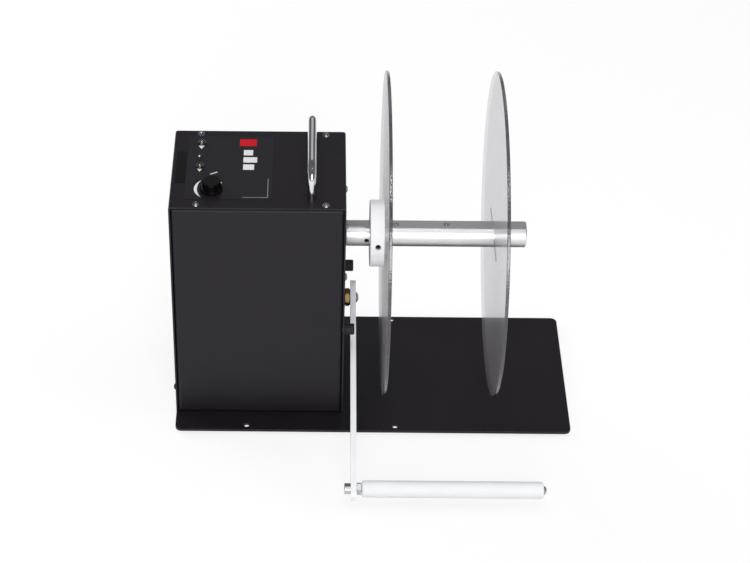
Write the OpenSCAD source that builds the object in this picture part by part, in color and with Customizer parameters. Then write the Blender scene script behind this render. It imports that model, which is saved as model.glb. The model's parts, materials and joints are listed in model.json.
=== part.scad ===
// Label rewinder: a motor box on a base plate turns a spindle with two clear flanges.
// A dancer arm with a free roller hangs from the box's right side.
// Every module is drawn in the spindle's own frame: x along the spindle from the
// box's right side, y away from the user, z up, zero on the spindle axis.

/* [Box] */
// Width of the box along the spindle
box_w = 158; // [150:1:190]
// Depth of the box from front to back
box_d = 122; // [112:1:150]
// Height of the box top above the spindle axis
top_h = 71.2; // [62:0.1:90]
// Height of the spindle axis above the base plate
axis_h = 168; // [158:1:190]
// Thickness of the bent sheet steel
sheet = 1.5; // [1:0.1:2]
// Outer bend radius of the cover
cover_bend = 2.6; // [2.2:0.1:4]
// Outer bend radius of the front and rear panels
panel_bend = 3.2; // [2.4:0.1:5]
// Depth of the flanges folded round each panel
flange_d = 14; // [12.5:0.5:14]
// Depth of the panels' top flange
top_flange = 10.5; // [9:0.5:12]
// Seam left between the cover and the panels
seam = 0.4; // [0.2:0.1:0.8]

/* [Base] */
// Length of the base plate along the spindle
base_l = 373; // [345:1:420]
// Depth of the base plate
base_d = 171.5; // [160:0.5:200]
// Thickness of the base plate
base_t = 2.5; // [2:0.5:5]
// Corner radius of the base plate
base_r = 6; // [3:1:12]
// Distance of the front mounting holes from the plate's front edge
hole_front = 6.5; // [5:0.5:12]
// Distance of the back mounting holes from the plate's back edge
hole_back = 4.5; // [4:0.5:12]
// First mounting hole, measured from the plate's left end
hole_x = 67.3; // [40:0.1:90]
// Distance between the mounting holes along the plate
hole_pitch = 140; // [120:0.5:160]
// Mounting hole diameter
hole_dia = 5.2; // [4:0.1:7]
// Height of the rubber feet
foot_h = 4; // [3:0.5:10]
// Diameter of the rubber feet
foot_dia = 18; // [12:1:24]

/* [Spindle and flanges] */
// Spindle diameter
spindle_dia = 24; // [23:0.1:25]
// Spindle reach beyond the box's right side
spindle_l = 167.3; // [160:0.1:200]
// Height of the spindle's flat above its axis
flat_h = 10.4; // [9.8:0.1:11]
// Where the flat begins
flat_x = 18; // [14:1:21]
// Flange disc diameter
disc_dia = 300; // [240:1:308]
// Flange disc thickness
disc_t = 3; // [2:0.5:5]
// Hub diameter
hub_dia = 62; // [56:1:72]
// Hub width
hub_w = 13; // [11:0.5:16]
// Where the hub begins
hub_x = 22.8; // [22:0.1:26]
// Clear width between the two flange discs
roll_w = 98.3; // [80:0.1:104]
// Length of the outer disc's two gripping slits, from the axis
slit_reach = 40; // [28:1:60]
// Distance of the first core plunger from the inner disc
plunger_gap = 8.2; // [6:0.1:14]
// Distance between the two core plungers
plunger_pitch = 46.5; // [36:0.5:56]
// How far a plunger nose stands out of the flat
plunger_nose = 1; // [0.6:0.1:1.2]

/* [Drive] */
// Side of the gearbox's square face
gearbox_side = 70; // [66:1:76]
// Length of the gearbox
gearbox_l = 40; // [30:1:46]
// Distance between the gearbox screws
gearbox_pitch = 58; // [54:0.5:60]
// Diameter of the motor can
motor_dia = 66; // [56:1:70]
// Length of the motor can
motor_l = 72; // [60:1:74]
// Diameter of the gearbox output shaft
drive_dia = 12; // [10:0.5:12]

/* [Dancer arm] */
// Pivot distance from the box's back edge
pivot_back = 46; // [45.5:0.5:52]
// Pivot position below the spindle axis
pivot_drop = 87.5; // [82:0.5:96]
// Distance from the pivot to the roller axle
arm_l = 206; // [180:1:230]
// Slope of the resting arm below the horizontal
arm_slope = 19; // [16:0.5:20]
// Height of the flat bar
arm_w = 12; // [11:0.5:14]
// Thickness of the flat bar
arm_t = 5.3; // [5:0.1:7]
// Length of bar beyond the pivot
arm_tail = 18; // [14:0.5:20]
// Length of bar beyond the roller axle
arm_tip = 10; // [8:0.5:14]
// Gap between the box and the bar
arm_gap = 6.4; // [6:0.1:7]
// Roller diameter
roller_dia = 15.6; // [14:0.1:20]
// Roller length
roller_l = 164.4; // [120:0.1:180]
// Angle the arm lifts before it meets its rubber stop
arm_lift = 21; // [17:0.5:22]

/* [Controls and handle] */
// Knob diameter
knob_dia = 20.4; // [17:0.2:22]
// Knob height
knob_h = 9; // [8:0.5:12]
// Knob position from the box's left side
knob_x = 37.2; // [30:0.1:44]
// Knob distance from the box's front edge
knob_front = 28; // [26:0.5:34]
// Toggle positions from the box's left side
toggle_x = 25.4; // [20:0.1:34]
// Back toggle's distance from the box's back edge
toggle_back = 21; // [21:0.5:26]
// Distance between the two toggles
toggle_pitch = 37.8; // [34:0.2:42]
// Height of a toggle lever's tip above the box
toggle_h = 13.4; // [11:0.2:18]
// Carry handle rod diameter
rod_dia = 8; // [6:0.5:10]
// Height of the carry handle
handle_h = 34.3; // [30:0.1:50]
// Distance between the handle's legs
handle_span = 91; // [70:1:100]
// Handle position from the box's right side
handle_x = 31; // [24:0.2:40]
// Bend radius of the handle's centre line
handle_bend = 14; // [10:0.5:20]

/* [Clearances] */
// Radial clearance of a shaft that turns or slides
run = 0.05; // [0.02:0.01:0.1]
// Radial clearance of a fixed fastener in its hole
loose = 0.1; // [0.05:0.05:0.3]
// Free gap between faces that move past each other
free = 0.5; // [0.3:0.1:1]

/* [Hidden] */
$fn = 96;
cut = 1;
plate_z = -axis_h;
floor_z = plate_z - base_t - foot_h;
front_y = -box_d / 2;
inner_z = top_h - sheet;
disc_r = disc_dia / 2;
disc_x = hub_x + hub_w;
roll_x = disc_x + disc_t;
outer_x = roll_x + roll_w;
plunger_x = roll_x + plunger_gap;
plunger_dia = 6;
plunger_pin = 3;
plunger_deep = 9;
bore_deep = flat_x + 8;
spindle_x = 1;
grub_dia = 4.2;
hub_grub = 5.2;
hub_grub_turn = 11;
disc_screw_r = 23;
box_screw_y = box_d / 2 - 5.5;
box_screw_l = 24.3;
box_screw_r = 18.1;
side_screw_y = box_d / 2 - 7;
side_screw_z = plate_z + 25.5;
base_screw_x = [-box_w + 30, -30];
base_screw_y = box_d / 2 - 8.5;
foot_in = foot_dia;
pivot_y = -front_y - pivot_back;
pivot_z = -pivot_drop;
bush_dia = 12;
bush_hex = 15;
shaft_dia = 8;
washer_t = 1.4;
arm_washer_t = 0.6;
hex_x = arm_gap - arm_washer_t - free / 10;
arm_end = arm_gap + arm_t;
arm_corner = 3;
roller_y = pivot_y - arm_l * cos(arm_slope);
roller_z = pivot_z - arm_l * sin(arm_slope);
axle_dia = 6;
axle_head = 5.7;
nut_w = 4.2;
roller_x = arm_end + nut_w + free;
roller_end = roller_x + roller_l;
stop_dia = 10.5;
stop_l = 9.5;
rest_stop_dia = 11;
rest_stop_l = 9;
// The lift stop sits where the lifted bar's top edge comes to rest against it.
stop_y = front_y + 10.5;
stop_off = arm_w / 2 + stop_dia / 2 + 0.3;
lift_end = arm_lift - arm_slope;
stop_along = (pivot_y - stop_y + stop_off * sin(lift_end)) / cos(lift_end);
stop_z = pivot_z + stop_along * sin(lift_end) + stop_off * cos(lift_end);
rest_stop_y = pivot_y + 15;
rest_stop_z = pivot_z + 26.7;
vane_x = -17.5;
vane_t = 1.5;
vane_r = 22;
slot_w = 4;
sensor_y = pivot_y + 16;
shelf_y = pivot_y + 29;
knob_pos = [-box_w + knob_x, front_y + knob_front];
toggle_y = -front_y - toggle_back;
toggle_pos = [-box_w + toggle_x, toggle_y];
toggle_pos2 = [-box_w + toggle_x, toggle_y - toggle_pitch];
overlay_t = 0.3;
overlay_x = 13.5;
overlay_w = 78;
overlay_front = 13;
overlay_back = 9.5;
overlay_lo = [-box_w + overlay_x, front_y + overlay_front];
overlay_hi = [-box_w + overlay_x + overlay_w, -front_y - overlay_back];
label_w = 9.2;
label_l = 49.5;
label_y = 1.8;
label_lo = [-box_w + overlay_x - 0.5 - label_w, label_y - label_l / 2];
label_hi = label_lo + [label_w, label_l];
pot_bush = 7;
pot_shaft = 6;
toggle_bush = 6;
toggle_bore = 4.4;
toggle_rise = 2.8;
toggle_nut = 7.6;
toggle_nut_h = 1.4;
toggle_pivot = top_h + 2;
inlet_x = -box_w + 38;
inlet_rise = 20;
inlet_dia = 11;
board_x = -box_w + 18;
board_z = plate_z + 14;
board_w = 96;
board_h = 62;
board_t = 1.6;
spacer_h = 8;
board_y = box_d / 2 - sheet - spacer_h - board_t;
spacer_dia = 6;
board_screw = 2.9;
inlet_z = board_z + board_h + inlet_rise;
handle_head = 8;
// The stored frame's origin is the middle of the whole object's box, on the floor.
side_head = 2.2;
left_end = -box_w - dome_top(7, side_head, 2.5);
right_end = base_l - box_w;
bar_end = (arm_l + arm_tip - arm_corner) * cos(arm_slope) + (arm_w / 2 - arm_corner) * sin(arm_slope);
near_end = min(pivot_y - bar_end - arm_corner, roller_y - roller_dia / 2);
frame_shift = [-(left_end + right_end) / 2, -(near_end + disc_r) / 2, -floor_z];

black = [0.13, 0.13, 0.14];
steel = [0.72, 0.73, 0.75];
alloy = [0.80, 0.81, 0.83];
brass = [0.72, 0.58, 0.33];
rubber = [0.05, 0.05, 0.055];
clear = [0.85, 0.86, 0.88, 0.4];
white = [0.93, 0.93, 0.94];
green = [0.08, 0.30, 0.16];

// Moves a piece from the spindle's frame to the stored frame.
module place() {
  translate(frame_shift) children();
}

// Points a piece drawn along +z towards +x, starting at x.
module along_x(x, y = 0, z = 0) {
  translate([x, y, z]) rotate([0, 90, 0]) children();
}

// Rounded rectangle between two corners.
module round_rect(lo, hi, r) {
  size = hi - lo;
  translate(lo) {
    translate([r, 0]) square([size[0] - 2 * r, size[1]]);
    translate([0, r]) square([size[0], size[1] - 2 * r]);
    for (x = [r, size[0] - r], y = [r, size[1] - r]) translate([x, y]) circle(r);
  }
}

// Outline with two rounded top corners and a square foot.
module arch_rect(lo, hi, r) {
  size = hi - lo;
  translate(lo) {
    square([size[0], size[1] - r]);
    translate([r, 0]) square([size[0] - 2 * r, size[1]]);
    for (x = [r, size[0] - r]) translate([x, size[1] - r]) circle(r);
  }
}

// Radius of the sphere whose cap makes a domed head.
function dome_r(head_dia, head_h) = (head_dia * head_dia / 4 + head_h * head_h) / (2 * head_h);

// Height of a domed head at the rim of its hex socket.
function dome_top(head_dia, head_h, socket) =
  let(r = dome_r(head_dia, head_h), rim = socket / 2 * cos(30)) head_h - r + sqrt(r * r - rim * rim);

// Domed screw: head of a sphere's cap with a hex socket, shank below, axis +z.
module dome_screw(head_dia, head_h, shank_dia, shank_l, socket) {
  cap_r = dome_r(head_dia, head_h);
  difference() {
    union() {
      intersection() {
        translate([0, 0, head_h - cap_r]) sphere(cap_r);
        cylinder(h = head_h, d = head_dia);
      }
      translate([0, 0, -shank_l]) cylinder(h = shank_l + head_h / 4, d = shank_dia);
    }
    translate([0, 0, head_h * 0.45]) cylinder(h = head_h, d = socket, $fn = 6);
  }
}

// Countersunk screw with its flat head at z = 0 and its shank below.
module flat_screw(head_dia, shank_dia, shank_l, socket) {
  sink = (head_dia - shank_dia) / 2;
  difference() {
    rotate_extrude() polygon([
      [0, 0], [head_dia / 2, 0], [shank_dia / 2, -sink], [shank_dia / 2, -shank_l], [0, -shank_l]
    ]);
    translate([0, 0, -sink * 0.6]) cylinder(h = sink, d = socket, $fn = 6);
  }
}

// Headless screw with a hex socket in its top at z = 0.
module grub(dia, length, socket) {
  difference() {
    translate([0, 0, -length]) cylinder(h = length, d = dia);
    translate([0, 0, -length * 0.4]) cylinder(h = length, d = socket, $fn = 6);
  }
}

// Hex nut with chamfered corners standing on z = 0.
module hex_nut(flats, height, bore) {
  corner = flats / cos(30) / 2;
  bevel = corner - flats / 2;
  difference() {
    intersection() {
      cylinder(h = height, r = corner, $fn = 6);
      rotate_extrude() polygon([
        [0, 0], [flats / 2, 0], [corner, bevel * 0.6], [corner, height - bevel * 0.6],
        [flats / 2, height], [0, height]
      ]);
    }
    translate([0, 0, -cut]) cylinder(h = height + 2 * cut, d = bore);
  }
}

// Flat ring standing on z = 0.
module ring(outer, inner, height) {
  difference() {
    cylinder(h = height, d = outer);
    translate([0, 0, -cut]) cylinder(h = height + 2 * cut, d = inner);
  }
}

// Places children at the base plate's four mounting holes.
module at_plate_holes() {
  start = hole_x - box_w;
  for (x = [start, start + hole_pitch], y = [hole_front - base_d / 2, base_d / 2 - hole_back])
    translate([x, y, plate_z]) children();
}

// Places children at the four screws that hold the panels' feet to the plate.
module at_base_screws() {
  for (x = base_screw_x, y = [-base_screw_y, base_screw_y])
    translate([x, y, plate_z - base_t]) children();
}

// Places children at the four screws in the cover's top.
module at_cover_screws() {
  for (x = [-box_w + box_screw_l, -box_screw_r], y = [-box_screw_y, box_screw_y])
    translate([x, y, top_h]) children();
}

// Places children at the two screws in the cover's left side, heads outwards.
module at_side_screws() {
  for (y = [-side_screw_y, side_screw_y])
    translate([-box_w, y, side_screw_z]) rotate([0, -90, 0]) children();
}

// Places children at the gearbox screws, heads towards +x.
module at_motor_screws() {
  half = gearbox_pitch / 2;
  for (y = [-half, half], z = [-half, half]) along_x(0, y, z) children();
}

// Places children at the two rubber stops, pointing out of the box.
module at_stops() {
  along_x(0, stop_y, stop_z) children();
  along_x(0, rest_stop_y, rest_stop_z) children();
}

// Places children at the handle's two legs.
module at_handle_legs() {
  for (y = [-handle_span / 2, handle_span / 2]) translate([-handle_x, y, top_h]) children();
}

// Places children at the circuit board's four corners, pointing to the front.
module at_board_corners() {
  inset = 5;
  for (x = [inset, board_w - inset], z = [inset, board_h - inset])
    translate([board_x + x, board_y + board_t + spacer_h, board_z + z]) rotate([90, 0, 0]) children();
}

// Folded tray of sheet: a face with four flanges turned back round its edges.
module panel_tray() {
  lo_x = -box_w + sheet + seam;
  hi_x = -sheet - seam;
  hi_z = inner_z - seam;
  difference() {
    intersection() {
      panel_plan(lo_x, hi_x, 0, panel_bend);
      panel_side(plate_z, hi_z, 0, panel_bend);
    }
    intersection() {
      panel_plan(lo_x, hi_x, sheet, panel_bend - sheet);
      panel_side(plate_z, hi_z, sheet, panel_bend - sheet);
    }
    translate([lo_x - cut, front_y + top_flange, hi_z - 2 * sheet])
      cube([box_w, flange_d, 2 * sheet + cut]);
    at_handle_legs() translate([0, 0, -2 * sheet - seam - cut])
      cylinder(h = sheet + seam + 2 * cut, d = handle_head + 2 * free);
    for (x = [lo_x, hi_x], z = [plate_z, hi_z])
      translate([x, front_y + panel_bend + flange_d, z])
        cube([2 * panel_bend, 2 * flange_d, 2 * panel_bend], center = true);
    for (x = [-box_w + box_screw_l, -box_screw_r])
      translate([x, -box_screw_y, hi_z - sheet - cut]) cylinder(h = sheet + 2 * cut, d = 4);
    for (x = base_screw_x)
      translate([x, -base_screw_y, plate_z - cut]) cylinder(h = sheet + 2 * cut, d = 4 + 2 * loose);
    along_x(lo_x - cut, -side_screw_y, side_screw_z) cylinder(h = sheet + 2 * cut, d = 4);
  }
}

// A tray's outline seen from above, pulled up to the box's height.
module panel_plan(lo_x, hi_x, inset, r) {
  translate([0, 0, plate_z - cut]) linear_extrude(top_h - plate_z + 2 * cut)
    mirror([0, 1]) arch_rect([lo_x + inset, -front_y - flange_d - inset * cut],
      [hi_x - inset, -front_y - inset], r);
}

// A tray's outline seen from its end, pulled along the box's width.
module panel_side(lo_z, hi_z, inset, r) {
  along_x(-box_w - cut) linear_extrude(box_w + 2 * cut) mirror([0, 1])
    arch_rect([-hi_z + inset, -front_y - flange_d - inset * cut], [-lo_z - inset, -front_y - inset], r);
}

module base_plate() {
  color(black) place() difference() {
    translate([0, 0, plate_z - base_t]) linear_extrude(base_t)
      round_rect([-box_w, -base_d / 2], [right_end, base_d / 2], base_r);
    at_plate_holes() translate([0, 0, -base_t - cut]) cylinder(h = base_t + 2 * cut, d = hole_dia);
    at_base_screws() {
      translate([0, 0, -cut]) cylinder(h = base_t + 2 * cut, d = 4 + 2 * loose);
      translate([0, 0, -0.01]) cylinder(h = 2.3, d1 = 8.6, d2 = 4);
    }
  }
}

module rubber_feet() {
  color(rubber) place()
    for (x = [-box_w + foot_in, right_end - foot_in], y = [foot_in - base_d / 2, base_d / 2 - foot_in])
      translate([x, y, floor_z]) rotate_extrude() polygon([
        [0, 0], [foot_dia / 2 - 1.8, 0], [foot_dia / 2 - 1, 0.8], [foot_dia / 2, foot_h], [0, foot_h]
      ]);
}

module base_screws() {
  color(steel) place() at_base_screws() mirror([0, 0, 1]) flat_screw(8, 3.9, base_t + sheet + 4, 2.5);
}

module cover() {
  color(black) place() difference() {
    translate([0, box_d / 2, 0]) rotate([90, 0, 0]) linear_extrude(box_d) difference() {
      arch_rect([-box_w, plate_z], [0, top_h], cover_bend);
      arch_rect([-box_w + sheet, plate_z - cut], [-sheet, inner_z], cover_bend - sheet);
    }
    at_cover_screws() translate([0, 0, -sheet - cut]) cylinder(h = sheet + 2 * cut, d = 4.4);
    at_side_screws() translate([0, 0, -sheet - cut]) cylinder(h = sheet + 2 * cut, d = 4.4);
    at_motor_screws() translate([0, 0, -sheet - cut]) cylinder(h = sheet + 2 * cut, d = 5.4);
    at_stops() translate([0, 0, -sheet - cut]) cylinder(h = sheet + 2 * cut, d = 4.4);
    at_handle_legs() translate([0, 0, -sheet - cut]) cylinder(h = sheet + 2 * cut, d = 5.4);
    along_x(-sheet - cut) cylinder(h = sheet + 2 * cut, d = gearbox_side / 2);
    along_x(-sheet - cut, pivot_y, pivot_z) cylinder(h = sheet + 2 * cut, d = bush_dia + 2 * loose);
    top_hole(knob_pos, pot_bush);
    top_hole(toggle_pos, toggle_bush);
    top_hole(toggle_pos2, toggle_bush);
  }
}

// Cuts a control's hole through the cover's top and the overlay.
module top_hole(pos, dia) {
  translate([pos[0], pos[1], inner_z - cut])
    cylinder(h = sheet + overlay_t + 2 * cut, d = dia + 2 * loose);
}

module front_panel() {
  color(black) place() difference() {
    panel_tray();
    along_x(-flange_d, stop_y, stop_z) cylinder(h = flange_d, d = 4);
  }
}

module rear_panel() {
  color(black) place() difference() {
    mirror([0, 1, 0]) panel_tray();
    translate([inlet_x, box_d / 2 + cut, inlet_z]) rotate([90, 0, 0])
      cylinder(h = sheet + 2 * cut, d = inlet_dia + 2 * loose);
    at_board_corners() translate([0, 0, -sheet - cut]) cylinder(h = sheet + 2 * cut, d = 3.4);
  }
}

module cover_screws() {
  color(steel) place() at_cover_screws() dome_screw(7, 2.2, 3.9, 8, 2.5);
}

module side_screws() {
  color(steel) place() at_side_screws() dome_screw(7, side_head, 3.9, 8, 2.5);
}

module carry_handle() {
  leg = handle_h - rod_dia / 2 - handle_bend;
  flat = handle_span - 2 * handle_bend;
  color(steel) place() difference() {
    translate([-handle_x, 0, top_h]) {
      for (side = [-1, 1]) {
        translate([0, side * handle_span / 2, 0]) cylinder(h = leg, d = rod_dia);
        translate([0, side * flat / 2, leg]) rotate([90, 0, side * 90])
          rotate_extrude(angle = 90) translate([handle_bend, 0]) circle(d = rod_dia);
      }
      translate([0, flat / 2, leg + handle_bend]) rotate([90, 0, 0]) cylinder(h = flat, d = rod_dia);
    }
    at_handle_legs() translate([0, 0, -cut]) cylinder(h = 13 + cut, d = 4.9 + 2 * loose);
  }
}

module handle_screws() {
  color(steel) place() at_handle_legs() translate([0, 0, -sheet]) rotate([180, 0, 0])
    dome_screw(handle_head, 2.6, 4.9, 12, 3);
}

module control_overlay() {
  color([0.10, 0.10, 0.11]) place() difference() {
    translate([0, 0, top_h]) linear_extrude(overlay_t) round_rect(overlay_lo, overlay_hi, 2);
    top_hole(knob_pos, pot_bush);
    top_hole(toggle_pos, toggle_bush);
    top_hole(toggle_pos2, toggle_bush);
  }
}

module blank_label() {
  color(rubber) place() translate([0, 0, top_h]) linear_extrude(overlay_t) round_rect(label_lo, label_hi, 1);
}

// Places children on the overlay at the knob's axis.
module at_knob() {
  translate([knob_pos[0], knob_pos[1], top_h + overlay_t]) children();
}

module knob() {
  r = knob_dia / 2;
  flutes = 24;
  color(black) place() at_knob() translate([0, 0, free]) difference() {
    rotate_extrude() difference() {
      union() {
        polygon([[0, 0], [r, 0], [r, 1.4], [r - 0.9, 2], [r - 1.6, knob_h - 1], [0, knob_h - 1]]);
        square([r - 2.6, knob_h]);
        translate([r - 2.6, knob_h - 1]) circle(1);
      }
      square([6.4, 4.2]);
      square([pot_shaft / 2 + loose / 2, knob_h - 2]);
    }
    for (i = [0:flutes - 1]) rotate(i * 360 / flutes)
      translate([r - 0.75, 0, 2.4]) cylinder(h = knob_h, r = 0.55, $fn = 24);
    translate([-0.5, -r + 1.2, knob_h - 0.4]) cube([1, r - 4, 1]);
  }
}

module potentiometer() {
  color(steel) place() difference() {
    union() {
      translate([knob_pos[0], knob_pos[1], inner_z - 10]) cylinder(h = 10, d = 17);
      translate([knob_pos[0], knob_pos[1], inner_z - 1]) cylinder(h = sheet + overlay_t + 4.4, d = pot_bush);
      translate([knob_pos[0] - 6, knob_pos[1] + 7, inner_z - 8]) cube([12, 5, 1.2]);
      for (x = [-5, 0, 5]) translate([knob_pos[0] + x - 0.6, knob_pos[1] + 11, inner_z - 7.8]) cube([1.2, 5, 0.6]);
    }
    translate([knob_pos[0], knob_pos[1], inner_z - 8]) cylinder(h = 20, d = pot_shaft + 2 * run);
  }
}

module potentiometer_nut() {
  color(steel) place() at_knob() hex_nut(10, 2, pot_bush + 2 * loose);
}

module potentiometer_shaft() {
  color(steel) place() translate([knob_pos[0], knob_pos[1], inner_z - 7.6])
    cylinder(h = sheet + overlay_t + free + 7.6 + knob_h - 2.4, d = pot_shaft);
}

// Toggle switch body below the cover with its threaded bush through it.
module toggle_body(pos) {
  translate([pos[0], pos[1], inner_z]) difference() {
    union() {
      translate([-4, -6.6, -10]) cube([8, 13.2, 10]);
      translate([0, 0, -cut]) cylinder(h = cut + sheet + overlay_t + toggle_rise, d = toggle_bush);
      for (y = [-4.7, 0, 4.7]) translate([-1, y - 0.4, -14]) cube([2, 0.8, 4.5]);
    }
    translate([0, 0, -4]) cylinder(h = 20, d = toggle_bore);
  }
}

module back_toggle() {
  color(steel) place() toggle_body(toggle_pos);
}

module front_toggle() {
  color(steel) place() toggle_body(toggle_pos2);
}

module toggle_nuts() {
  slots = 4;
  color(steel) place() for (pos = [toggle_pos, toggle_pos2])
    translate([pos[0], pos[1], top_h + overlay_t]) difference() {
      ring(toggle_nut, toggle_bush + 2 * loose, toggle_nut_h);
      for (i = [0:slots - 1]) rotate(45 + i * 360 / slots)
        translate([toggle_bush / 2 + 0.4, -0.5, toggle_nut_h / 2]) cube([toggle_nut, 1, toggle_nut_h]);
    }
}

// Bat lever with a pivot ball in the bush and a round tip.
module lever(pos) {
  reach = top_h + toggle_h - toggle_pivot;
  tip = 1.25;
  translate([pos[0], pos[1], toggle_pivot]) rotate_extrude() intersection() {
    translate([0, -8]) square([10, reach + 16]);
    union() {
      circle(1.75);
      polygon([[0, -4], [0.7, -4], [0.8, 0], [0.7, 3], [0.8, reach - 3], [tip, reach - tip], [0, reach - tip]]);
      translate([0, reach - tip]) circle(tip);
    }
  }
}

module back_lever() {
  color(steel) place() lever(toggle_pos);
}

module front_lever() {
  color(steel) place() lever(toggle_pos2);
}

module gearbox() {
  boss = gearbox_side / 2 - 2 * loose;
  half = gearbox_side / 2;
  color(steel) place() difference() {
    union() {
      along_x(-sheet - gearbox_l) linear_extrude(gearbox_l) round_rect([-half, -half], [half, half], 7);
      along_x(-sheet - cut) cylinder(h = sheet + cut, d = boss);
    }
    along_x(-sheet - gearbox_l + 3) cylinder(h = gearbox_l + 2 * sheet, d = drive_dia + 2 * run);
    at_motor_screws() translate([0, 0, -sheet - 14]) cylinder(h = 14 + cut, d = 4.9 + 2 * loose);
    for (x = [-sheet - gearbox_l + 9, -sheet - 12]) along_x(x) difference() {
      cylinder(h = 1.2, d = 3 * gearbox_side);
      translate([0, 0, -cut]) linear_extrude(1.2 + 2 * cut)
        round_rect([1 - half, 1 - half], [half - 1, half - 1], 6);
    }
  }
}

module motor() {
  r = motor_dia / 2;
  color(black) place() along_x(-sheet - gearbox_l - motor_l) difference() {
    rotate_extrude() polygon([
      [0, 0], [9, 0], [9, 3], [r - 6, 3], [r - 2, 6], [r - 2, 14], [r, 15],
      [r, motor_l - 6], [r - 2, motor_l - 5], [r - 2, motor_l], [0, motor_l]
    ]);
    for (i = [0:7]) rotate(i * 45) translate([r - 9, 0, 2]) cylinder(h = 3, d = 5, $fn = 32);
  }
}

module motor_screws() {
  color(steel) place() at_motor_screws() dome_screw(8.2, 2.6, 4.9, 12, 3);
}

module drive_shaft() {
  start = -sheet - gearbox_l + 4;
  end = bore_deep - 1;
  color(steel) place() difference() {
    along_x(start) cylinder(h = end - start, d = drive_dia);
    translate([spindle_x, -drive_dia, -drive_dia]) cube([end, drive_dia / 2 + 1, 2 * drive_dia]);
  }
}

module spindle() {
  r = spindle_dia / 2;
  edge = 0.9;
  color(alloy) place() difference() {
    along_x(0) rotate_extrude() polygon([
      [0, spindle_x], [r - 0.4, spindle_x], [r, spindle_x + 0.4], [r, spindle_l - edge],
      [r - edge, spindle_l], [0, spindle_l]
    ]);
    translate([flat_x, -spindle_dia, flat_h]) cube([spindle_l, 2 * spindle_dia, spindle_dia]);
    along_x(spindle_x - cut) cylinder(h = bore_deep, d = drive_dia + 2 * run);
    translate([flat_x + 1.8, 0, 0]) rotate([90, 0, 0]) cylinder(h = spindle_dia, d = grub_dia + 2 * loose);
    for (x = [plunger_x, plunger_x + plunger_pitch])
      translate([x, 0, flat_h - plunger_deep]) cylinder(h = spindle_dia, d = plunger_dia + 2 * loose);
    along_x(spindle_l - 5) cylinder(h = 5 + cut, d1 = 1, d2 = 8);
  }
}

module spindle_grub() {
  tip = drive_dia / 2 - 1 + 0.05;
  out = spindle_dia / 2 - 1.2;
  color(black) place() translate([flat_x + 1.8, -out, 0]) rotate([90, 0, 0]) grub(grub_dia, out - tip, 2.2);
}

module hub() {
  r = hub_dia / 2;
  bevel = 0.6;
  color(white) place() difference() {
    along_x(hub_x) rotate_extrude() difference() {
      polygon([[0, 0], [r - bevel, 0], [r, bevel], [r, hub_w - bevel], [r - bevel, hub_w], [0, hub_w]]);
      translate([0, -cut]) square([spindle_dia / 2 + run, hub_w + 2 * cut]);
    }
    translate([hub_x + hub_w * 0.56, 0, 0]) rotate([90 - hub_grub_turn, 0, 0])
      cylinder(h = r + cut, d = hub_grub + 2 * loose);
    for (i = [0:2]) along_x(disc_x - 9) rotate(60 + i * 120) translate([disc_screw_r, 0, 0])
      cylinder(h = 9 + cut, d = 3.9 + 2 * loose);
  }
}

module hub_grub_screw() {
  out = hub_dia / 2 - 3.5;
  tip = spindle_dia / 2 + 0.1;
  color(black) place() translate([hub_x + hub_w * 0.56, 0, 0]) rotate([90 - hub_grub_turn, 0, 0])
    translate([0, 0, out]) grub(hub_grub, out - tip, 2.6);
}

// Disc with eased edges and a central bore, standing on z = 0.
module flange_disc(bore) {
  ease = 0.4;
  rotate_extrude() polygon([
    [bore / 2, 0], [disc_r - ease, 0], [disc_r, ease], [disc_r, disc_t - ease],
    [disc_r - ease, disc_t], [bore / 2, disc_t]
  ]);
}

module inner_disc() {
  color(clear) place() along_x(disc_x) difference() {
    flange_disc(spindle_dia + 2 * loose);
    for (i = [0:2]) rotate(60 + i * 120) translate([disc_screw_r, 0, 0]) {
      translate([0, 0, -cut]) cylinder(h = disc_t + 2 * cut, d = 3.9 + 2 * loose);
      translate([0, 0, disc_t - 2.1]) cylinder(h = 2.11, d1 = 4, d2 = 8.3);
    }
  }
}

module disc_screws() {
  color(steel) place() along_x(roll_x) for (i = [0:2]) rotate(60 + i * 120)
    translate([disc_screw_r, 0, 0]) flat_screw(7.8, 3.9, disc_t + 8, 2.5);
}

module plunger_sleeves() {
  color(steel) place() for (x = [plunger_x, plunger_x + plunger_pitch])
    translate([x, 0, flat_h - plunger_deep + 0.1]) difference() {
      cylinder(h = plunger_deep - 0.3, d = plunger_dia);
      translate([0, 0, 1]) cylinder(h = plunger_deep, d = plunger_pin + 2 * run);
    }
}

// Round-nosed pin that holds the paper core on the spindle.
module plunger(x) {
  nose = plunger_pin / 2;
  shank = plunger_deep - 5;
  translate([x, 0, flat_h + plunger_nose - nose]) {
    sphere(nose);
    translate([0, 0, -shank]) cylinder(h = shank, d = plunger_pin);
  }
}

module inner_plunger() {
  color(steel) place() plunger(plunger_x);
}

module outer_plunger() {
  color(steel) place() plunger(plunger_x + plunger_pitch);
}

module outer_disc() {
  slit = 0.5;
  color(clear) place() along_x(outer_x) difference() {
    flange_disc(spindle_dia + 2 * run);
    translate([-slit / 2, -slit_reach, -cut]) cube([slit, 2 * slit_reach, disc_t + 2 * cut]);
    for (y = [-slit_reach, slit_reach]) translate([0, y, -cut]) cylinder(h = disc_t + 2 * cut, d = 3 * slit);
  }
}

module bush_washer() {
  color(rubber) place() along_x(0, pivot_y, pivot_z) ring(20, bush_dia + 2 * loose, washer_t);
}

module pivot_bush() {
  color(brass) place() difference() {
    union() {
      along_x(washer_t, pivot_y, pivot_z) rotate(30)
        hex_nut(bush_hex, hex_x - washer_t, shaft_dia + 2 * run);
      along_x(-12, pivot_y, pivot_z) cylinder(h = 12 + washer_t + cut, d = bush_dia);
    }
    along_x(-13, pivot_y, pivot_z) cylinder(h = 30, d = shaft_dia + 2 * run);
  }
}

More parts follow.
